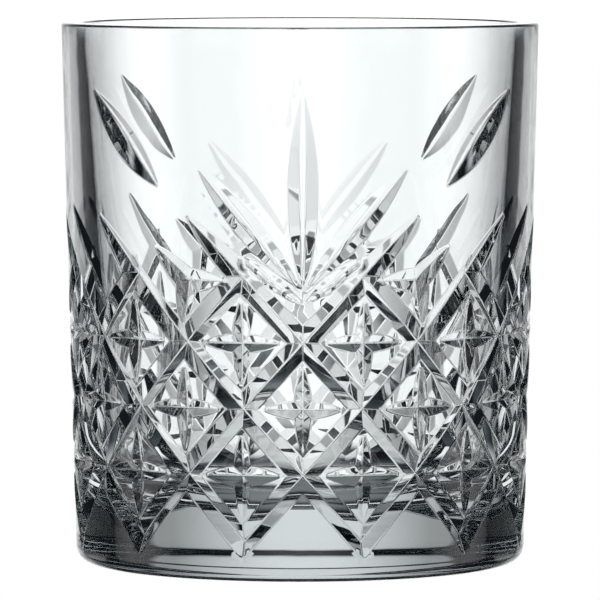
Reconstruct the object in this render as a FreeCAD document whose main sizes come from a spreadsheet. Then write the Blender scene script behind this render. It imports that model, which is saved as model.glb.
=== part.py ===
import FreeCAD, Part

import os
import Sketcher

# A whiskey tumbler, pressed from one gob of clear glass.
# Frame: origin at the centre of the foot, +Z up, the fan of leaves on the front faces -Y.
# A turn is an angle round the glass, 0 at the front and growing towards +X.
# Every cut is the track of a V-edged wheel: a groove round the glass or a pointed lens.

NODE = "tumbler_glass"

# alias, value in mm (degrees for turns), what it is
GLASS_SIZES = [
    ("height", 96.0, "foot plane to rim"),
    ("foot_radius", 39.9, "outer cone carried down to the foot plane"),
    ("flare", 0.0272, "outer radius gained per mm of height"),
    ("rim_wall", 3.9, "wall thickness at the rim"),
    ("floor_height", 12.0, "foot plane to the floor of the cavity"),
    ("floor_radius", 32.8, "cavity radius at its floor, before rounding"),
    ("floor_round", 9.0, "inside corner between wall and floor"),
    ("heel_round", 3.0, "outside corner between wall and foot"),
    ("rim_round", 0.6, "fire-polished rim edges"),
    ("punt_radius", 31.0, "hollow under the foot"),
    ("punt_depth", 1.0, "hollow under the foot"),
    ("wheel_spread", 1.65, "half width of a cut for each mm of its depth"),
    ("groove_depth", 1.3, "lattice grooves"),
    ("groove_rise", 3.15, "half height of a lattice groove, upright"),
    ("lattice_base", 7.1, "height of the lowest crossings"),
    ("lattice_row", 11.5, "from one row of crossings to the next"),
    ("lattice_turn", 30.0, "from one crossing to the next round the glass"),
    ("star_half", 1.65, "half width of a star's arms"),
    ("star_across", 7.2, "half length of a star's level arms"),
    ("star_upright", 7.8, "half length of a star's upright arms"),
]

# name, turn, height of the middle, lean from level, half length, half width
LENS_CUTS = [
    ("middle_leaf", 0.0, 68.0, 90.0, 17.5, 2.85),
    ("high_leaf", 47.75, 76.4, 45.0, 12.0, 2.95),
    ("long_leaf", 13.45, 61.7, 48.8, 14.9, 2.35),
    ("short_leaf", 7.75, 52.5, 35.5, 6.9, 1.4),
    ("near_tip", 19.4, 56.4, 46.5, 11.0, 1.95),
    ("next_tip", 49.4, 56.4, 46.5, 11.0, 1.95),
    ("side_tip", 79.4, 56.4, 46.5, 11.0, 1.95),
    ("spur_level", 24.3, 52.3, 0.0, 5.0, 1.5),
    ("spur_down", 29.4, 48.8, 90.0, 4.8, 1.5),
    ("spur_up", 32.9, 54.8, 40.0, 4.9, 1.5),
]
LENS_COLUMNS = ("turn", "level", "lean", "reach", "half")

# rows of stars: name, turn in lattice steps, height in lattice rows
STAR_ROWS = [("low", 0.5, 1), ("mid", 0.0, 2), ("high", 0.5, 3)]

REPEATS_ROUND = 12      # lattice steps in a full turn
LATTICE_ROWS = 4        # rows that each groove climbs
WHEEL_BITE = 3.0        # how far the wheel's edge profile stands clear of the glass
GROOVE_PROUD = 1.0      # the same for a lattice groove
WHEEL_GUESS = 40.0      # where an axle is first drawn, before its own rule moves it
EDGE_MATCH = 0.01       # how level a ring-shaped edge is
RING_MATCH = 0.5        # how near its radius is to the one asked for


def fillSheet(doc):
    sheet = doc.addObject("Spreadsheet::Sheet", "sizes")
    rows = [(alias, value) for alias, value, note in GLASS_SIZES]
    for name, *numbers in LENS_CUTS:
        rows += [(name + "_" + column, value) for column, value in zip(LENS_COLUMNS, numbers)]
    for line, (alias, value) in enumerate(rows, start=1):
        sheet.set("A%d" % line, alias)
        sheet.set("B%d" % line, str(value))
        sheet.setAlias("B%d" % line, alias)
    doc.recompute()
    return sheet


def originPart(body, role):
    return next(item for item in body.Origin.OriginFeatures if item.Role == role)


def addSketch(body, name, role):
    sketch = body.newObject("Sketcher::SketchObject", name)
    sketch.AttachmentSupport = [(originPart(body, role), "")]
    sketch.MapMode = "FlatFace"
    return sketch


def bindCorner(sketch, line, axis, guess, expression):
    """Hold the start of a line at a distance from the sketch's origin."""
    kind = "DistanceX" if axis == 0 else "DistanceY"
    number = sketch.addConstraint(Sketcher.Constraint(kind, -1, 1, line, 1, guess))
    sketch.setExpression("Constraints[%d]" % number, expression)


def addOutline(sketch, corners):
    """A closed outline; each corner is (x guess, y guess, x expression, y expression)."""
    points = [FreeCAD.Vector(corner[0], corner[1], 0) for corner in corners]
    count = len(points)
    for index in range(count):
        sketch.addGeometry(Part.LineSegment(points[index], points[(index + 1) % count]))
    for index in range(count):
        sketch.addConstraint(Sketcher.Constraint("Coincident", index, 2, (index + 1) % count, 1))
    for index, corner in enumerate(corners):
        bindCorner(sketch, index, 0, corner[0], corner[2])
        bindCorner(sketch, index, 1, corner[1], corner[3])


def roundEdges(body, name, radius, level, distance):
    """Round the ring-shaped edges at one height that lie nearest to a given radius."""
    base = body.Tip
    picked = []
    for index, edge in enumerate(base.Shape.Edges, start=1):
        box = edge.BoundBox
        flat = box.ZLength < EDGE_MATCH and abs(box.ZMin - level) < EDGE_MATCH
        if flat and abs(box.XMax - distance) < RING_MATCH:
            picked.append("Edge%d" % index)
    fillet = body.newObject("PartDesign::Fillet", name)
    fillet.Base = (base, picked)
    fillet.setExpression("Radius", "sizes." + radius)
    body.Document.recompute()
    return fillet


def addBlank(body, sheet):
    """The plain turned glass: cone outside, cavity, foot and its hollow."""
    rim = sheet.foot_radius + sheet.flare * sheet.height
    inner = rim - sheet.rim_wall
    rimRule = "sizes.foot_radius + sizes.flare * sizes.height"
    profile = addSketch(body, "glass_profile", "XZ_Plane")
    addOutline(profile, [
        (0, sheet.punt_depth, "0", "sizes.punt_depth"),
        (sheet.punt_radius, sheet.punt_depth, "sizes.punt_radius", "sizes.punt_depth"),
        (sheet.punt_radius + sheet.punt_depth, 0, "sizes.punt_radius + sizes.punt_depth", "0"),
        (sheet.foot_radius, 0, "sizes.foot_radius", "0"),
        (rim, sheet.height, rimRule, "sizes.height"),
        (inner, sheet.height, rimRule + " - sizes.rim_wall", "sizes.height"),
        (sheet.floor_radius, sheet.floor_height, "sizes.floor_radius", "sizes.floor_height"),
        (0, sheet.floor_height, "0", "sizes.floor_height"),
    ])
    blank = body.newObject("PartDesign::Revolution", "blank")
    blank.Profile = (profile, [""])
    blank.ReferenceAxis = (profile, ["V_Axis"])
    blank.Angle = 360
    body.Document.recompute()
    roundEdges(body, "floor_corner", "floor_round", sheet.floor_height, sheet.floor_radius)
    roundEdges(body, "heel", "heel_round", 0, sheet.foot_radius)
    roundEdges(body, "rim_outside", "rim_round", sheet.height, rim)
    roundEdges(body, "rim_inside", "rim_round", sheet.height, inner)


def addRingPattern(body, name, originals, count):
    pattern = body.newObject("PartDesign::PolarPattern", name)
    pattern.Originals = originals
    pattern.Axis = (originPart(body, "Z_Axis"), [""])
    pattern.Angle = 360
    pattern.Occurrences = count
    pattern.Refine = False
    body.Tip = pattern
    body.Document.recompute()
    return pattern


def addWheelCut(body, sheet, name, side, turn, level, lean, reach, half):
    """A pointed lens: a V-edged wheel sunk square into the cone, leaning along the cut.

    The sketch's Y axis runs out through the middle of the cut, and its X axis is the
    wheel's own axle. side is 1 or -1 and mirrors the cut about the front.
    """
    surface = "(sizes.foot_radius + sizes.flare * (%s))" % level
    sketch = addSketch(body, name + "_profile", "XY_Plane")
    place = "placement(vector(0; 0; %s + sizes.flare * %s); " % (level, surface)
    swing = "rotation(180 + %d * (%s); 0; 0) * " % (side, turn)
    tilt = "rotation(0; 0; -atan(sizes.flare)) * rotation(0; %d * ((%s) - 90); 0))" % (side, lean)
    sketch.setExpression("AttachmentOffset", place + swing + tilt)

    depth = "(%s) / sizes.wheel_spread" % half
    edge = "%s * sqrt(1 + sizes.flare ^ 2) - %s" % (surface, depth)
    bow = "cos(%s) ^ 2 / %s" % (lean, surface)
    wheel = "1 / (2 * %s / (%s) ^ 2 - %s)" % (depth, reach, bow)
    spread = "%g * sizes.wheel_spread" % WHEEL_BITE
    rise = "%s + %g" % (edge, WHEEL_BITE)
    near = sheet.foot_radius
    far = near + WHEEL_BITE
    wide = sheet.wheel_spread * WHEEL_BITE
    addOutline(sketch, [
        (0, near, "0", edge),
        (wide, far, spread, rise),
        (-wide, far, "-" + spread, rise),
    ])
    centre = near + WHEEL_GUESS
    start = FreeCAD.Vector(0, centre, 0)
    end = FreeCAD.Vector(wide, centre, 0)
    axle = sketch.addGeometry(Part.LineSegment(start, end), True)
    sketch.addConstraint(Sketcher.Constraint("Horizontal", axle))
    sketch.addConstraint(Sketcher.Constraint("DistanceX", -1, 1, axle, 1, 0))
    sketch.addConstraint(Sketcher.Constraint("DistanceX", axle, 1, axle, 2, wide))
    bindCorner(sketch, axle, 1, centre, "%s + %s" % (edge, wheel))

    cut = body.newObject("PartDesign::Groove", name)
    cut.Profile = (sketch, [""])
    cut.ReferenceAxis = (sketch, ["Axis0"])
    cut.Angle = 360
    cut.Refine = False
    body.Document.recompute()
    return cut


def addGroove(body, sheet, name, leftHanded):
    """One lattice groove, climbing four rows of crossings from the lowest."""
    start = "sizes.foot_radius + sizes.flare * sizes.lattice_base"
    rim = "%s + %g" % (start, GROOVE_PROUD)
    sketch = addSketch(body, name + "_profile", "XZ_Plane")
    swing = "rotation(0; sizes.lattice_turn / 2; 0)"
    sketch.setExpression("AttachmentOffset", "placement(vector(0; 0; 0); %s)" % swing)
    proud = "sizes.groove_rise * (sizes.groove_depth + %g) / sizes.groove_depth" % GROOVE_PROUD
    near = sheet.foot_radius - sheet.groove_depth
    far = sheet.foot_radius + GROOVE_PROUD
    level = sheet.lattice_base
    addOutline(sketch, [
        (near, level, start + " - sizes.groove_depth", "sizes.lattice_base"),
        (far, level + sheet.groove_rise, rim, "sizes.lattice_base + " + proud),
        (far, level - sheet.groove_rise, rim, "sizes.lattice_base - " + proud),
    ])
    groove = body.newObject("PartDesign::SubtractiveHelix", name)
    groove.Profile = (sketch, [""])
    groove.ReferenceAxis = (originPart(body, "Z_Axis"), [""])
    groove.Mode = "pitch-height-angle"
    groove.setExpression("Pitch", "sizes.lattice_row * 720 / sizes.lattice_turn")
    groove.setExpression("Height", "sizes.lattice_row * %d" % LATTICE_ROWS)
    groove.setExpression("Angle", "atan(sizes.flare)")
    groove.LeftHanded = leftHanded
    groove.Refine = False
    body.Document.recompute()
    return groove


def addFan(body, sheet):
    """Leaves, tips and spurs: each on both sides of the front, then again on the back."""
    cuts = []
    for name, turn, *rest in LENS_CUTS:
        for side in (1, -1) if turn else (1,):
            columns = ["sizes.%s_%s" % (name, column) for column in LENS_COLUMNS]
            label = name + ("_right" if side > 0 else "_left")
            cuts.append(addWheelCut(body, sheet, label, side, *columns))
    addRingPattern(body, "front_and_back", cuts, 2)


def addStars(body, sheet):
    """Crosses of two pointed lenses in the middle of each diamond."""
    arms = [("_across", "0", "sizes.star_across"), ("_upright", "90", "sizes.star_upright")]
    cuts = []
    for name, steps, row in STAR_ROWS:
        turn = "%g * sizes.lattice_turn" % steps
        level = "sizes.lattice_base + %d * sizes.lattice_row" % row
        for arm, lean, reach in arms:
            cut = addWheelCut(body, sheet, name + arm, 1, turn, level, lean, reach, "sizes.star_half")
            cuts.append(cut)
    addRingPattern(body, "stars_all_round", cuts, REPEATS_ROUND)


def addLattice(body, sheet):
    """Grooves that climb both ways and cross in diamonds."""
    right = addGroove(body, sheet, "groove_right", False)
    left = addGroove(body, sheet, "groove_left", True)
    addRingPattern(body, "lattice_all_round", [right, left], REPEATS_ROUND)


def checkAll(doc, body):
    for item in doc.Objects:
        if "Invalid" in item.State or "Error" in item.State:
            raise RuntimeError("%s is %s" % (item.Name, item.State))
    shape = body.Shape
    if shape.isNull() or not shape.isValid() or len(shape.Solids) != 1:
        raise RuntimeError("the glass isn't one valid solid")


def main():
    doc = FreeCAD.newDocument("tumbler")
    sheet = fillSheet(doc)
    body = doc.addObject("PartDesign::Body", NODE)
    body.Label = NODE
    addBlank(body, sheet)
    plain = body.Shape.Volume
    for stage in (addFan, addStars, addLattice):
        before = body.Shape.Volume
        stage(body, sheet)
        print(stage.__name__, "took away %.0f mm3" % (before - body.Shape.Volume))
    checkAll(doc, body)
    print("plain glass %.0f mm3, finished %.0f mm3" % (plain, body.Shape.Volume))
    os.makedirs("parts", exist_ok=True)
    body.Shape.exportStep("parts/%s.step" % NODE)


main()
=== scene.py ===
import math

import bpy
import numpy as np
from mathutils import Matrix, Vector
from mathutils.geometry import delaunay_2d_cdt


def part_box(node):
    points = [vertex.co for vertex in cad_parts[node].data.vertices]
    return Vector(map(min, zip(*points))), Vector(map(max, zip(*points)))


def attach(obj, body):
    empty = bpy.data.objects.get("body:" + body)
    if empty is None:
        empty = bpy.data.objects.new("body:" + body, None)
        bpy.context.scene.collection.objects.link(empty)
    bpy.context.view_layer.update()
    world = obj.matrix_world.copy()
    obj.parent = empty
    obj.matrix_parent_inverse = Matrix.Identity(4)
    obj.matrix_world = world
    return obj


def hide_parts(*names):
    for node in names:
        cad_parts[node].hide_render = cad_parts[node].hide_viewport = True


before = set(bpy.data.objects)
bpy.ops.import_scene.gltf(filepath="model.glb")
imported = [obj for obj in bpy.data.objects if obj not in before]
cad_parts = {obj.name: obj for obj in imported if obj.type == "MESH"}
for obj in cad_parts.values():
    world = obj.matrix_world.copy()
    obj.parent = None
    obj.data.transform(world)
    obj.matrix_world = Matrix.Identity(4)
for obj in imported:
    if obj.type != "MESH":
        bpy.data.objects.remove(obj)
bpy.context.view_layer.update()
mm = 0.001
glassLow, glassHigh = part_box("tumbler_glass")
glassHeight = glassHigh.z / mm
rimRadius = (glassHigh.x - glassLow.x) / 2 / mm
print("frame loaded: glass %.1f mm high, %.1f mm across the rim" % (glassHeight, 2 * rimRadius))


cameraSizes = {
    "turn": -0.7,        # degrees round the glass from its front
    "distance": 1.185,   # from the glass's axis
    "height": 0.123,     # above the table
    "aim": 0.0465,       # height of the point it looks at
    "lens": 400.0,
}


def makeCamera(sizes):
    data = bpy.data.cameras.new("camera")
    data.lens = sizes["lens"]
    data.sensor_width = 36
    data.clip_start = 0.05
    data.clip_end = 50
    camera = bpy.data.objects.new("camera", data)
    bpy.context.scene.collection.objects.link(camera)
    turn = math.radians(sizes["turn"])
    away = sizes["distance"]
    camera.location = (math.sin(turn) * away, -math.cos(turn) * away, sizes["height"])
    look = Vector((0, 0, sizes["aim"])) - camera.location
    camera.rotation_euler = look.to_track_quat("-Z", "Y").to_euler()
    bpy.context.scene.camera = camera


makeCamera(cameraSizes)


# the cut pattern is drawn flat: a runs round the glass and z up it, both in mm
# turns are in degrees from the front
tumblerSizes = {
    "flare": 0.0272,        # outer radius gained per mm of height
    "rimWall": 3.9,
    "rimRound": 0.55,       # fire polish softens the two edges of the rim
    "floorHeight": 12.0,
    "floorRadius": 32.8,
    "floorRound": 9.0,
    "heelRound": 3.0,
    "puntRadius": 31.0,
    "puntDepth": 1.0,
    "puntRound": 1.0,
    "flatRadius": 41.0,     # the pattern is to scale at this radius
    "step": 15.0,           # degrees from a crossing to the next row's crossing
    "row": 11.5,
    "lowestRow": 7.1,
    "spread": 1.65,         # half width of a cut for each mm of its depth
    "groove": 1.3,          # depth of the lattice grooves
    "star": 1.0,            # depth of a star's arms
    "starAcross": 7.2,      # half length of its level arms
    "starUpright": 7.8,
    "leaves": {             # from turn and height, to turn and height, depth, spread
        "middle": ((0.0, 50.3), (0.0, 85.6), 1.19, 2.4),
        "high": ((59.3, 84.9), (36.2, 68.0), 1.69, 1.75),
        "long": ((0.0, 50.3), (26.9, 73.0), 1.10, 2.1),
        "short": ((0.0, 48.3), (15.6, 56.7), 0.70, 2.0),
    },
    "spurNode": (29.0, 52.3),
    "spurArms": ((18.6, 52.3), (30.4, 43.6), (38.4, 58.4)),
    "spurDepth": 1.25,
    "arris": 0.2,           # half width of the rounding that fire polish leaves on an edge
    "keel": 0.75,           # the same at the bottom of a leaf, where it is widest
    "spacing": 1.05,        # mm between mesh points on plain glass
    "columns": 60,          # mesh columns in a quarter of the glass
    "sampling": 0.15,       # mm between the points at which a cut's lines are worked out
    "longestRun": 4.0,      # mm of a turned outline without a point
    "tailReach": 14.6,      # degrees that a groove runs on past the top row
    "tailShort": 0.6,       # mm by which it stops short of the next row up
}
flare = tumblerSizes["flare"]
# the box is widest where the rim starts to round
footRadius = rimRadius - flare * (glassHeight - tumblerSizes["rimRound"])
flatRadius = tumblerSizes["flatRadius"]
arris = tumblerSizes["arris"]
soft = arris / tumblerSizes["spread"]   # the same rounding, measured in depth
quarter = math.pi / 2 * flatRadius
patternBottom = tumblerSizes["heelRound"] + 0.1
patternTop = glassHeight - tumblerSizes["rimRound"] - 0.2
awayDepth = -9.0                        # stands for no cut here
everywhere = 1e9
lastRow = 4                             # rows of crossings are counted from 0, the highest, to this one


def coneRadius(z):
    return footRadius + flare * z


def flatPoint(degrees, z):
    return (math.radians(degrees) * flatRadius, z)


def rowHeight(row):
    return tumblerSizes["lowestRow"] + (lastRow - row) * tumblerSizes["row"]


cuts = []       # each a straight V cut with its start, direction, length, depth and shape
crossings = {}  # where cuts meet: point -> directions of the arms that leave it, in degrees


# a groove keeps its depth, a lens rises out at both ends, a tail only at its far end
def addCut(start, end, depth, shape, low=-everywhere, high=everywhere, keel=arris, spread=None):
    a0, z0 = start
    a1, z1 = end
    length = math.hypot(a1 - a0, z1 - z0)
    cuts.append({
        "a": a0, "z": z0, "ca": (a1 - a0) / length, "cz": (z1 - z0) / length,
        "length": length, "depth": depth, "shape": shape, "low": low, "high": high, "keel": keel,
        "spread": spread or tumblerSizes["spread"],
    })


def addCrossing(point, arms):
    crossings[(round(point[0], 4), round(point[1], 4))] = arms


def addMirrored(images, start, end, depth, shape, clip=None, keel=arris, spread=None):
    # the cut, and its images about the front plane and the side plane
    for image in images:
        points = []
        for degrees, z in (start, end):
            points.append(flatPoint(image(degrees), z))
        low, high = -everywhere, everywhere
        if clip is not None:
            ends = sorted(flatPoint(image(degrees), 0)[0] for degrees in clip)
            low, high = ends
        addCut(points[0], points[1], depth, shape, low, high, keel, spread)


allImages = (lambda turn: turn, lambda turn: -turn, lambda turn: 180 - turn)


def layPattern():
    step = tumblerSizes["step"]
    everySecond = round(2 * step)       # crossings of one row are two steps apart
    groove = tumblerSizes["groove"]
    bottom, top = rowHeight(lastRow), rowHeight(0)
    for turn in range(-75, 166, everySecond):
        for way in (lastRow, -lastRow):     # a groove goes one step round for each row it climbs
            far = turn + way * step
            ends = sorted((flatPoint(turn, 0)[0], flatPoint(far, 0)[0]))
            addCut(flatPoint(turn, bottom), flatPoint(far, top), groove, "groove", ends[0], ends[1])
    for turn in (15, 45, 75):           # grooves that climb away from the fan run on past the top row
        end = (turn + tumblerSizes["tailReach"], rowHeight(-1) - tumblerSizes["tailShort"])
        addMirrored(allImages, (turn, top), end, groove, "tail", (turn, turn + step))
    for row in (1, 2, 3):
        centre = rowHeight(row)
        first = 0 if row == 2 else 15
        for turn in range(first - 60, 150, everySecond):
            a, z = flatPoint(turn, centre)
            across, upright = tumblerSizes["starAcross"], tumblerSizes["starUpright"]
            addCut((a - across, z), (a + across, z), tumblerSizes["star"], "lens")
            addCut((a, z - upright), (a, z + upright), tumblerSizes["star"], "lens")
            addCrossing((a, z), (0, 90, 180, 270))
    for arm in tumblerSizes["spurArms"]:
        addMirrored(allImages, tumblerSizes["spurNode"], arm, tumblerSizes["spurDepth"], "tail")
    for start, end, depth, spread in tumblerSizes["leaves"].values():
        images = allImages[::2] if start[0] == 0 and end[0] == 0 else allImages
        addMirrored(images, start, end, depth, "lens", keel=tumblerSizes["keel"], spread=spread)
    climb = math.degrees(math.atan2(tumblerSizes["row"], flatPoint(step, 0)[0]))
    for row in range(lastRow + 1):
        first = 15 if row % 2 == 0 else 0
        for turn in range(first, 91, everySecond):
            arms = (climb, 180 - climb, 180 + climb, 360 - climb)
            if row == lastRow:
                arms = (climb, 180 - climb)
            if row == 0:
                arms = (climb, 180 + climb, 360 - climb)
            addCrossing(flatPoint(turn, rowHeight(row)), arms)
    node = flatPoint(*tumblerSizes["spurNode"])
    directions = []
    for arm in tumblerSizes["spurArms"]:
        a, z = flatPoint(*arm)
        directions.append(math.degrees(math.atan2(z - node[1], a - node[0])) % 360)
    addCrossing(node, tuple(sorted(directions)))


layPattern()
print("pattern laid out: %d cuts, %d crossings" % (len(cuts), len(crossings)))


def cutDepths(a, z):
    # depth of every cut below the cone, one row per cut; negative where the cut passes above
    a, z = np.asarray(a, float), np.asarray(z, float)
    rows = np.empty((len(cuts), a.size))
    for index, cut in enumerate(cuts):
        along = (a - cut["a"]) * cut["ca"] + (z - cut["z"]) * cut["cz"]
        beside = np.abs((z - cut["z"]) * cut["ca"] - (a - cut["a"]) * cut["cz"])
        fullness = profileAlong(cut, along)
        keel = keelAlong(cut, fullness)
        rounded = np.where(beside < keel, beside ** 2 / (2 * keel) + keel / 2, beside)
        depth = fullness - rounded / cut["spread"] - (beside * cut["cz"]) ** 2 / (2 * flatRadius)
        outside = (a < cut["low"] - 1e-6) | (a > cut["high"] + 1e-6)
        if cut["shape"] == "tail":
            outside |= (along < -1e-6) & (cut["low"] == -everywhere)
        rows[index] = np.where(outside, awayDepth, np.maximum(depth, awayDepth))
    return rows


def keelAlong(cut, fullness):
    # half width of the rounding at the bottom of a cut; it narrows to a plain edge at the tips
    return arris + (cut["keel"] - arris) * np.clip(fullness / cut["depth"], 0, 1)


def profileAlong(cut, along):
    share = along / cut["length"]
    if cut["shape"] == "lens":
        return cut["depth"] * (1 - (2 * share - 1) ** 2)
    if cut["shape"] == "tail":
        return cut["depth"] * (1 - np.where(share > 0, share, 0) ** 2)
    return cut["depth"] * np.ones_like(along)


def surfaceDepth(a, z):
    # the deepest cut wins; where two are nearly level, their meeting edge is rounded
    rows = cutDepths(a, z)
    rows = np.vstack([rows, np.zeros((1, rows.shape[1]))])
    rows.partition(rows.shape[0] - 2, axis=0)
    second, first = rows[-2], rows[-1]
    gap = first - second
    return first + np.where(gap < soft, (soft - gap) ** 2 / (4 * soft), 0)


def solidPoints(a, z):
    # points of the outer surface in mm, from the flat drawing
    radius = coneRadius(z) - surfaceDepth(a, z)
    turn = a / flatRadius
    return np.stack([radius * np.sin(turn), -radius * np.cos(turn), z], axis=1)


def halfWidth(cut, along):
    # half width of a cut where it meets the cone
    fullness = np.maximum(profileAlong(cut, along), 0)
    bend = cut["cz"] ** 2 / (2 * flatRadius)
    spread = cut["spread"]
    if bend < 1e-9:
        return fullness * spread
    return (np.sqrt(1 / spread ** 2 + 4 * bend * fullness) - 1 / spread) / (2 * bend)


def visibleRuns(index, along, beside):
    # the stretches of a line beside a cut that no deeper cut takes away, as lists of flat points
    cut = cuts[index]
    a = cut["a"] + along * cut["ca"] - beside * cut["cz"]
    z = cut["z"] + along * cut["cz"] + beside * cut["ca"]
    rows = cutDepths(a, z)
    own = rows[index].copy()
    rows[index] = awayDepth
    shown = (own > awayDepth) & (own >= rows.max(axis=0) - soft * 0.5)
    beyond = 0.4    # mm that a line may run past the quarter's own edges
    shown &= (a > -beyond) & (a < quarter + beyond)
    runs, run = [], []
    for point, keep in zip(zip(a, z), shown):
        if keep:
            run.append(point)
        elif run:
            runs.append(run)
            run = []
    if run:
        runs.append(run)
    return [thinned(run) for run in runs if len(run) > 2]


def thinned(points):
    # every few points of a finely sampled line, with both its ends
    skip = max(1, round(tumblerSizes["spacing"] / tumblerSizes["sampling"]))
    return points[:-1:skip] + [points[-1]]


def cutLines(index):
    cut = cuts[index]
    along = np.arange(0, cut["length"] + 0.01, tumblerSizes["sampling"])
    width = halfWidth(cut, along)
    keel = keelAlong(cut, profileAlong(cut, along))
    wide = width > keel + 1.2 * arris       # room for a facet between its two rounded edges
    opened = width > 0.6 * arris            # past the cut's own tip
    lines = []
    for side in (1, -1):
        for offset, keep in ((keel, wide), (width - arris, wide), (width + arris, opened)):
            stations = along[keep]
            if len(stations) < 3:
                continue
            offsets = offset[keep] if isinstance(offset, np.ndarray) else np.full(len(stations), offset)
            lines += visibleRuns(index, stations, side * offsets)
    return lines


def mitreLines(point, arms):
    # the ridges between neighbouring arms of a crossing, as pairs of lines a little to each side
    straight = 171                                  # degrees; arms as far apart as this have no ridge
    reach = np.arange(0.3, 6, 0.3)                  # mm out from the crossing
    search = np.linspace(-0.35, 0.35, 71)           # share of the opening, about its middle
    lines = []
    for first, second in zip(arms, arms[1:] + (arms[0] + 360,)):
        opening = second - first
        if opening > straight:
            continue
        middle = math.radians((first + second) / 2)
        ridge = []
        for distance in reach:
            angles = middle + np.radians(search * opening)
            a = point[0] + distance * np.cos(angles)
            z = point[1] + distance * np.sin(angles)
            depth = surfaceDepth(a, z)
            best = int(np.argmin(depth))
            if depth[best] < soft * 0.5:
                break
            ridge.append((a[best], z[best]))
        if len(ridge) < 2:
            continue
        slope = 2 * math.sin(math.radians(opening) / 2) / tumblerSizes["spread"]
        offset = min(arris, soft / slope)
        along = Vector((ridge[-1][0] - ridge[0][0], ridge[-1][1] - ridge[0][1])).normalized()
        for side in (1, -1):
            shift = Vector((-along.y, along.x)) * offset * side
            lines.append([(a + shift.x, z + shift.y) for a, z in ridge])
    return lines


def keelLines(point):
    # at the foot of the lattice two grooves end against each other, in one upright edge
    climb = math.atan2(tumblerSizes["row"], quarter / 6)
    drop = tumblerSizes["groove"] * tumblerSizes["spread"] / math.cos(climb)
    shares = (0.1, 0.4, 0.7, 0.97)      # of the drop, from the crossing down to the edge's end
    lines = []
    for offset in (-arris, 0, arris):
        lines.append([(point[0] + offset, point[1] - drop * share) for share in shares])
    return lines


def featureLines():
    lines = []
    for index in range(len(cuts)):
        lines += cutLines(index)
    for point, arms in crossings.items():
        if -0.1 < point[0] < quarter + 0.1:
            lines += mitreLines(point, arms)
            if len(arms) == 2:
                lines += keelLines(point)
    return lines


def fillPoints(segments):
    # an even grid over plain glass and facets, kept clear of the feature lines
    spacing = tumblerSizes["spacing"]
    columns = tumblerSizes["columns"]
    rows = round((patternTop - patternBottom) / spacing)
    a = np.linspace(0, quarter, columns + 1)[1:-1]
    z = np.linspace(patternBottom, patternTop, rows + 1)[1:-1]
    grid = np.array([(x, y) for y in z for x in a])
    clear = np.ones(len(grid), bool)
    starts = np.array([s[0] for s in segments])
    ends = np.array([s[1] for s in segments])
    blockSize = 500     # points compared with every line at once
    for begin in range(0, len(grid), blockSize):
        block = grid[begin:begin + blockSize, None, :]
        run = ends - starts
        share = ((block - starts) * run).sum(-1) / np.maximum((run * run).sum(-1), 1e-12)
        nearest = starts + np.clip(share, 0, 1)[..., None] * run
        gap = np.sqrt(((block - nearest) ** 2).sum(-1)).min(axis=1)
        clear[begin:begin + blockSize] = gap > 0.35 * spacing
    return grid[clear]


def flatMesh():
    # triangles of a quarter of the pattern, with an edge along every feature line
    lines = featureLines()
    segments = [(line[i], line[i + 1]) for line in lines for i in range(len(line) - 1)]
    points, edges = [], []

    def addLine(line):
        first = len(points)
        points.extend(Vector(p) for p in line)
        edges.extend((first + i, first + i + 1) for i in range(len(line) - 1))

    for line in lines:
        addLine(line)
    columns = tumblerSizes["columns"]
    rows = round((patternTop - patternBottom) / tumblerSizes["spacing"])
    across = np.linspace(0, quarter, columns + 1)
    upright = np.linspace(patternBottom, patternTop, rows + 1)
    for z in (patternBottom, patternTop):
        addLine([(a, z) for a in across])
    for a in (0.0, quarter):
        addLine([(a, z) for z in upright])
    points.extend(Vector(p) for p in fillPoints(segments))
    flat, _, triangles, _, _, _ = delaunay_2d_cdt(points, edges, [], 0, 1e-3)
    flat = np.array([(p.x, p.y) for p in flat])
    corners = np.array([t for t in triangles if len(t) == 3])
    middle = flat[corners].mean(axis=1)
    inside = (middle[:, 0] > 0) & (middle[:, 0] < quarter)
    inside &= (middle[:, 1] > patternBottom) & (middle[:, 1] < patternTop)
    corners = corners[inside]
    used = np.unique(corners)
    renumber = np.full(len(flat), -1)
    renumber[used] = np.arange(len(used))
    flat = flat[used]
    flat[:, 0] = np.clip(flat[:, 0], 0, quarter)
    return flat, renumber[corners]


def roundedOutline(corners):
    # points of an outline in (radius, height); a corner with a third number is rounded to that radius
    points = []
    for index, corner in enumerate(corners):
        here = Vector(corner[:2])
        if len(corner) < 3:
            points.append(here)
            continue
        back = (Vector(corners[index - 1][:2]) - here).normalized()
        on = (Vector(corners[index + 1][:2]) - here).normalized()
        half = back.angle(on) / 2
        centre = here + (back + on).normalized() * corner[2] / math.sin(half)
        start = here + back * corner[2] / math.tan(half) - centre
        sweep = start.angle_signed(here + on * corner[2] / math.tan(half) - centre)
        steps = 12
        for step in range(steps + 1):
            turned = start.copy()
            turned.rotate(Matrix.Rotation(-sweep * step / steps, 2))
            points.append(centre + turned)
    return points


def dividedOutline(points, longest):
    # the same outline with its long straight runs divided
    divided = [points[0]]
    for start, end in zip(points, points[1:]):
        parts = max(1, math.ceil((end - start).length / longest))
        divided += [start.lerp(end, part / parts) for part in range(1, parts + 1)]
    return divided


def rimAndCavity(sizes):
    outer = coneRadius(glassHeight)
    return dividedOutline(roundedOutline([
        (coneRadius(patternTop), patternTop),
        (outer, glassHeight, sizes["rimRound"]),
        (outer - sizes["rimWall"], glassHeight, sizes["rimRound"]),
        (sizes["floorRadius"], sizes["floorHeight"], sizes["floorRound"]),
        (0, sizes["floorHeight"]),
    ]), sizes["longestRun"])


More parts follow.
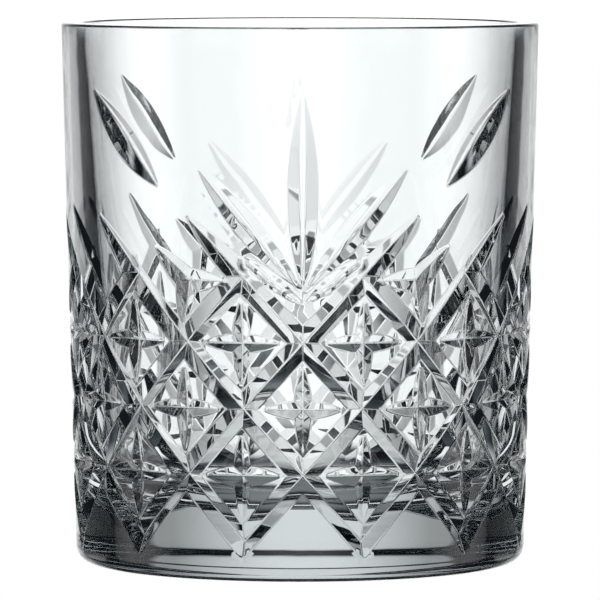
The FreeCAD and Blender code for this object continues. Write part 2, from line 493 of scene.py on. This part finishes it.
def heelAndFoot(sizes):
    return dividedOutline(roundedOutline([
        (coneRadius(patternBottom), patternBottom),
        (footRadius, 0, sizes["heelRound"]),
        (sizes["puntRadius"] + sizes["puntDepth"] * 2, 0, sizes["puntRound"]),
        (sizes["puntRadius"], sizes["puntDepth"], sizes["puntRound"]),
        (0, sizes["puntDepth"]),
    ]), sizes["longestRun"])


def latheQuarter(outline, columns):
    # a quarter turn of an outline that ends on the axis: its points in mm and its faces
    points, faces = [], []
    for radius, z in outline[:-1]:
        for column in range(columns + 1):
            turn = math.pi / 2 * column / columns
            points.append((radius * math.sin(turn), -radius * math.cos(turn), z))
    points.append((0, 0, outline[-1].y))
    pole = len(points) - 1
    wide = columns + 1
    for row in range(len(outline) - 2):
        for column in range(columns):
            corner = row * wide + column
            faces.append((corner, corner + 1, corner + wide + 1, corner + wide))
    last = (len(outline) - 2) * wide
    faces += [(last + column, last + column + 1, pole) for column in range(columns)]
    return points, faces


def makeGlassQuarter():
    flat, triangles = flatMesh()
    points = [tuple(p) for p in solidPoints(flat[:, 0], flat[:, 1])]
    faces = [tuple(int(v) for v in t) for t in triangles]
    columns = tumblerSizes["columns"]
    for outline, turned in ((rimAndCavity(tumblerSizes), False), (heelAndFoot(tumblerSizes), True)):
        morePoints, moreFaces = latheQuarter(outline, columns)
        first = len(points)
        points += morePoints
        for face in moreFaces:
            face = tuple(first + v for v in face)
            faces.append(face[::-1] if turned else face)
    mesh = bpy.data.meshes.new("glassQuarter")
    mesh.from_pydata([Vector(p) * mm for p in points], [], faces)
    mesh.validate()
    quarterGlass = bpy.data.objects.new("glassQuarter", mesh)
    bpy.context.scene.collection.objects.link(quarterGlass)
    return quarterGlass


def linearColour(hexColour):
    channels = [int(hexColour[i:i + 2], 16) / 255 for i in (1, 3, 5)]
    return [c / 12.92 if c <= 0.04045 else ((c + 0.055) / 1.055) ** 2.4 for c in channels] + [1.0]


def addNode(tree, kind, values=None, **settings):
    node = tree.nodes.new(kind)
    for name, setting in settings.items():
        setattr(node, name, setting)
    for socket, value in (values or {}).items():
        if isinstance(value, bpy.types.Node):
            value = value.outputs[0]
        if isinstance(value, bpy.types.NodeSocket):
            tree.links.new(value, node.inputs[socket])
        else:
            node.inputs[socket].default_value = value
    return node


glassFinish = {
    "surface": "#fbfdfd",
    "ior": 1.52,
    "body": "#8d9b9e",      # soda-lime glass is faintly blue-green where it is looked through edge on
    "density": 11.0,
    "rippleLength": 7.0,    # mm
    "rippleHeight": 0.02,   # mm
}


# soda-lime glass pressed in an iron mould and fire polished: it is bright and clear, its facets are flat
# with softened edges, and the skin that chilled first against the iron has a slow faint ripple
def pressedSodaLimeGlass(finish):
    material = bpy.data.materials.new("pressedSodaLimeGlass")
    material.use_nodes = True
    tree = material.node_tree
    place = addNode(tree, "ShaderNodeTexCoord")
    ripple = addNode(tree, "ShaderNodeTexNoise", {
        "Vector": place.outputs["Object"], "Scale": 1 / (finish["rippleLength"] * mm), "Detail": 1.0})
    bump = addNode(tree, "ShaderNodeBump", {
        "Height": ripple.outputs["Fac"], "Strength": 1.0, "Distance": finish["rippleHeight"] * mm})
    shader = tree.nodes["Principled BSDF"]
    shader.inputs["Base Color"].default_value = linearColour(finish["surface"])
    shader.inputs["Transmission Weight"].default_value = 1.0
    shader.inputs["IOR"].default_value = finish["ior"]
    shader.inputs["Roughness"].default_value = 0.0
    tree.links.new(bump.outputs["Normal"], shader.inputs["Normal"])
    body = addNode(tree, "ShaderNodeVolumeAbsorption", {
        "Color": linearColour(finish["body"]), "Density": finish["density"]})
    tree.links.new(body.outputs["Volume"], tree.nodes["Material Output"].inputs["Volume"])
    return material


glassMaterial = pressedSodaLimeGlass(glassFinish)


# a quarter turn of glass, its mirror image, and both again half a turn round
def quartersTree(material):
    tree = bpy.data.node_groups.new("fourQuarters", "GeometryNodeTree")
    tree.interface.new_socket("Geometry", in_out="INPUT", socket_type="NodeSocketGeometry")
    tree.interface.new_socket("Weld distance", in_out="INPUT", socket_type="NodeSocketFloat")
    tree.interface.new_socket("Back turn", in_out="INPUT", socket_type="NodeSocketFloat")
    tree.interface.new_socket("Geometry", in_out="OUTPUT", socket_type="NodeSocketGeometry")
    given = addNode(tree, "NodeGroupInput")
    other = addNode(tree, "GeometryNodeTransform", {"Geometry": given, "Scale": (-1, 1, 1)})
    flipped = addNode(tree, "GeometryNodeFlipFaces", {"Mesh": other})
    front = addNode(tree, "GeometryNodeJoinGeometry", {"Geometry": given})
    tree.links.new(flipped.outputs["Mesh"], front.inputs["Geometry"])
    turn = addNode(tree, "ShaderNodeCombineXYZ", {"Z": given.outputs["Back turn"]})
    back = addNode(tree, "GeometryNodeTransform", {"Geometry": front, "Rotation": turn})
    both = addNode(tree, "GeometryNodeJoinGeometry", {"Geometry": front})
    tree.links.new(back.outputs["Geometry"], both.inputs["Geometry"])
    welded = addNode(tree, "GeometryNodeMergeByDistance", {
        "Geometry": both, "Distance": given.outputs["Weld distance"]})
    real = addNode(tree, "GeometryNodeRealizeInstances", {"Geometry": welded})
    finish = addNode(tree, "GeometryNodeSetMaterial", {"Geometry": real, "Material": material})
    addNode(tree, "NodeGroupOutput", {"Geometry": finish})
    return tree


def socketIdentifier(tree, name):
    return next(item.identifier for item in tree.interface.items_tree
                if item.name == name and item.in_out == "INPUT")


def settledMesh(holder, name):
    # the evaluated result of an object's modifiers, as a plain object; the holder goes
    evaluated = holder.evaluated_get(bpy.context.evaluated_depsgraph_get())
    mesh = bpy.data.meshes.new_from_object(evaluated)
    mesh.name = name
    bpy.data.objects.remove(holder)
    piece = bpy.data.objects.new(name, mesh)
    bpy.context.scene.collection.objects.link(piece)
    return piece


def trueNormals(mesh):
    # shading normals worked out from the drawing, so that facets stay flat and edges soft
    count = len(mesh.vertices)
    co = np.empty(count * 3)
    mesh.vertices.foreach_get("co", co)
    co = co.reshape(-1, 3) / mm
    normals = np.empty(count * 3)
    mesh.vertices.foreach_get("normal", normals)
    normals = normals.reshape(-1, 3)
    radius = np.hypot(co[:, 0], co[:, 1])
    wallShare = 0.7     # deeper into the wall than any cut, short of the inner face
    outer = radius > coneRadius(co[:, 2]) - tumblerSizes["rimWall"] * wallShare
    outer &= (co[:, 2] > patternBottom - 0.01) & (co[:, 2] < patternTop + 0.01)
    turn = np.arctan2(co[outer, 0], -co[outer, 1])
    folded = np.abs(turn)
    overSide = folded > math.pi / 2
    folded = np.where(overSide, math.pi - folded, folded)
    a, z = folded * flatRadius, co[outer, 2]
    nudge = 0.01
    across = solidPoints(a + nudge, z) - solidPoints(a - nudge, z)
    up = solidPoints(a, z + nudge) - solidPoints(a, z - nudge)
    normal = np.cross(across, up)
    normal /= np.linalg.norm(normal, axis=1)[:, None]
    normal[:, 0] *= np.where(turn < 0, -1, 1)
    normal[:, 1] *= np.where(overSide, -1, 1)
    normals[outer] = normal
    mesh.shade_smooth()
    mesh.normals_split_custom_set_from_vertices([tuple(n) for n in normals])


def makeTumbler():
    holder = makeGlassQuarter()
    tree = quartersTree(glassMaterial)
    quarters = holder.modifiers.new("quarters", "NODES")
    quarters.node_group = tree
    quarters[socketIdentifier(tree, "Weld distance")] = 0.002 * mm
    quarters[socketIdentifier(tree, "Back turn")] = math.pi
    tumbler = settledMesh(holder, "glassTumbler")
    trueNormals(tumbler.data)
    return tumbler


tumbler = makeTumbler()
print("tumbler made: %d faces" % len(tumbler.data.polygons))
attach(tumbler, "root")
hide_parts("tumbler_glass")


studioSizes = {
    "tableHalf": 3.0,       # metres
    "tableDrop": 0.2,       # mm below the foot
    "panelCore": 4.0,       # degrees from a main direction within which a panel is fully bright
    "panelHalf": 31.0,      # front and back panels end here, in a hard edge
    "panelCut": 1.5,        # degrees to each side over which that edge falls
    "sideHalf": 20.0,       # panels at the sides
    "panelTop": 19.0,
    "panelBottom": -24.0,
    "panelSoft": 12.0,      # degrees over which their top and bottom fade
    "panelLevel": 1.24,
    "panelEnd": 0.34,       # share of it left at the panel's edge
    "cardLevel": 0.012,     # black cards between the panels, which draw the edges of clear glass
    "cardColour": "#c4dcea",
    "roomLevel": 0.035,
    "roomFrom": 30.0,       # degrees up at which the cards start to give way to the room
    "roomTo": 60.0,
    "tableLevel": 0.25,     # the table straight below the glass
    "tableFrom": -35.0,     # degrees down at which it starts to show past the cards
    "tableTo": -65.0,
    "cornerFrom": 0.40,     # corner lamps begin where a direction's x times y is over this
    "cornerTo": 0.44,       # and are fully bright over this
    "cornerTop": -9.0,      # degrees; they lie below this
    "cornerLevel": 0.8,
    "whitening": 2.5,       # light brighter than 1 over this has no tint
    "bounces": 24,          # light crosses many facets before it leaves the glass
    "glossyBounces": 16,
}


def makeTable(sizes):
    half = sizes["tableHalf"]
    level = -sizes["tableDrop"] * mm
    mesh = bpy.data.meshes.new("table")
    corners = [(-half, -half, level), (half, -half, level), (half, half, level), (-half, half, level)]
    mesh.from_pydata(corners, [], [(0, 1, 2, 3)])
    table = bpy.data.objects.new("table", mesh)
    bpy.context.scene.collection.objects.link(table)
    material = bpy.data.materials.new("backlitAcrylic")     # opal sheet lit from below, with no shade
    material.use_nodes = True
    shader = material.node_tree.nodes["Principled BSDF"]
    shader.inputs["Base Color"].default_value = linearColour("#000000")
    shader.inputs["Emission Color"].default_value = linearColour("#ffffff")
    shader.inputs["Emission Strength"].default_value = 1.0
    shader.inputs["Specular IOR Level"].default_value = 0.0
    mesh.materials.append(material)
    table.visible_transmission = False      # the glass sees the dimmer table of the studio's own light
    table.visible_glossy = False
    table.visible_diffuse = False


# a soft panel that faces the glass from two opposite sides: brightest in its middle, with a hard edge
def addPanels(tree, sizes, across, along, half):
    ratio = addNode(tree, "ShaderNodeMath", {0: across, 1: along}, operation="ARCTAN2")
    off = addNode(tree, "ShaderNodeMath", {0: ratio}, operation="DEGREES")
    fall = addNode(tree, "ShaderNodeMapRange", {
        "Value": off, "From Min": sizes["panelCore"], "From Max": half, "To Min": 1.0,
        "To Max": sizes["panelEnd"]}, interpolation_type="SMOOTHSTEP")
    edge = addNode(tree, "ShaderNodeMapRange", {
        "Value": off, "From Min": half - sizes["panelCut"], "From Max": half + sizes["panelCut"],
        "To Min": 1.0, "To Max": 0.0})
    return addNode(tree, "ShaderNodeMath", {0: fall, 1: edge}, operation="MULTIPLY")


def makeWorld(sizes):
    world = bpy.data.worlds.new("studio")
    bpy.context.scene.world = world
    world.use_nodes = True
    tree = world.node_tree
    place = addNode(tree, "ShaderNodeTexCoord")
    parts = addNode(tree, "ShaderNodeSeparateXYZ", {0: place.outputs["Generated"]})
    x = addNode(tree, "ShaderNodeMath", {0: parts.outputs["X"]}, operation="ABSOLUTE")
    y = addNode(tree, "ShaderNodeMath", {0: parts.outputs["Y"]}, operation="ABSOLUTE")
    frontBack = addPanels(tree, sizes, x, y, sizes["panelHalf"])
    sides = addPanels(tree, sizes, y, x, sizes["sideHalf"])
    panels = addNode(tree, "ShaderNodeMath", {0: frontBack, 1: sides}, operation="MAXIMUM")
    slope = addNode(tree, "ShaderNodeMath", {0: parts.outputs["Z"]}, operation="ARCSINE")
    up = addNode(tree, "ShaderNodeMath", {0: slope}, operation="DEGREES")
    # each stretch of height: from, to, level before, level after
    half = sizes["panelSoft"] / 2
    stretches = (
        (sizes["panelTop"] - half, sizes["panelTop"] + half, sizes["panelLevel"], 0.0),
        (sizes["panelBottom"] - half, sizes["panelBottom"] + half, 0.0, 1.0),
        (sizes["roomFrom"], sizes["roomTo"], sizes["cardLevel"], sizes["roomLevel"]),
        (sizes["tableTo"], sizes["tableFrom"], sizes["tableLevel"], sizes["cardLevel"]),
    )
    steps = []
    for start, end, before, after in stretches:
        steps.append(addNode(tree, "ShaderNodeMapRange", {
            "Value": up, "From Min": start, "From Max": end, "To Min": before,
            "To Max": after}, interpolation_type="SMOOTHSTEP"))
    high, low, room, table = steps
    upright = addNode(tree, "ShaderNodeMath", {0: high, 1: low}, operation="MULTIPLY")
    lit = addNode(tree, "ShaderNodeMath", {0: upright, 1: panels}, operation="MULTIPLY")
    dim = addNode(tree, "ShaderNodeMath", {0: room, 1: table}, operation="MAXIMUM")
    # low lamps in the gaps between the panels keep the glass clear from its corners too
    corner = addNode(tree, "ShaderNodeMath", {0: x, 1: y}, operation="MULTIPLY")
    cornered = addNode(tree, "ShaderNodeMapRange", {
        "Value": corner, "From Min": sizes["cornerFrom"], "From Max": sizes["cornerTo"], "To Min": 0.0,
        "To Max": sizes["cornerLevel"]}, interpolation_type="SMOOTHSTEP")
    under = addNode(tree, "ShaderNodeMapRange", {
        "Value": up, "From Min": sizes["cornerTop"] - half, "From Max": sizes["cornerTop"], "To Min": 1.0,
        "To Max": 0.0}, interpolation_type="SMOOTHSTEP")
    cornerLight = addNode(tree, "ShaderNodeMath", {0: cornered, 1: under}, operation="MULTIPLY")
    dimmed = addNode(tree, "ShaderNodeMath", {0: dim, 1: cornerLight}, operation="MAXIMUM")
    level = addNode(tree, "ShaderNodeMath", {0: dimmed, 1: lit}, operation="MAXIMUM")
    path = addNode(tree, "ShaderNodeLightPath")     # behind the glass the wall is plain white
    shown = addNode(tree, "ShaderNodeMath", {
        0: level, 1: path.outputs["Is Camera Ray"]}, operation="MAXIMUM")
    whiteness = addNode(tree, "ShaderNodeMath", {0: shown, 1: sizes["whitening"]}, operation="MULTIPLY")
    colour = addNode(tree, "ShaderNodeMix", {
        "Factor": whiteness, "A": linearColour(sizes["cardColour"]), "B": linearColour("#ffffff"),
    }, data_type="RGBA")
    background = tree.nodes["Background"]
    tree.links.new(colour.outputs["Result"], background.inputs["Color"])
    tree.links.new(shown.outputs[0], background.inputs["Strength"])


makeTable(studioSizes)
makeWorld(studioSizes)
print("studio made")
scene = bpy.context.scene
scene.view_settings.view_transform = "Standard"
scene.cycles.max_bounces = studioSizes["bounces"]
scene.cycles.transmission_bounces = studioSizes["bounces"]
scene.cycles.glossy_bounces = studioSizes["glossyBounces"]
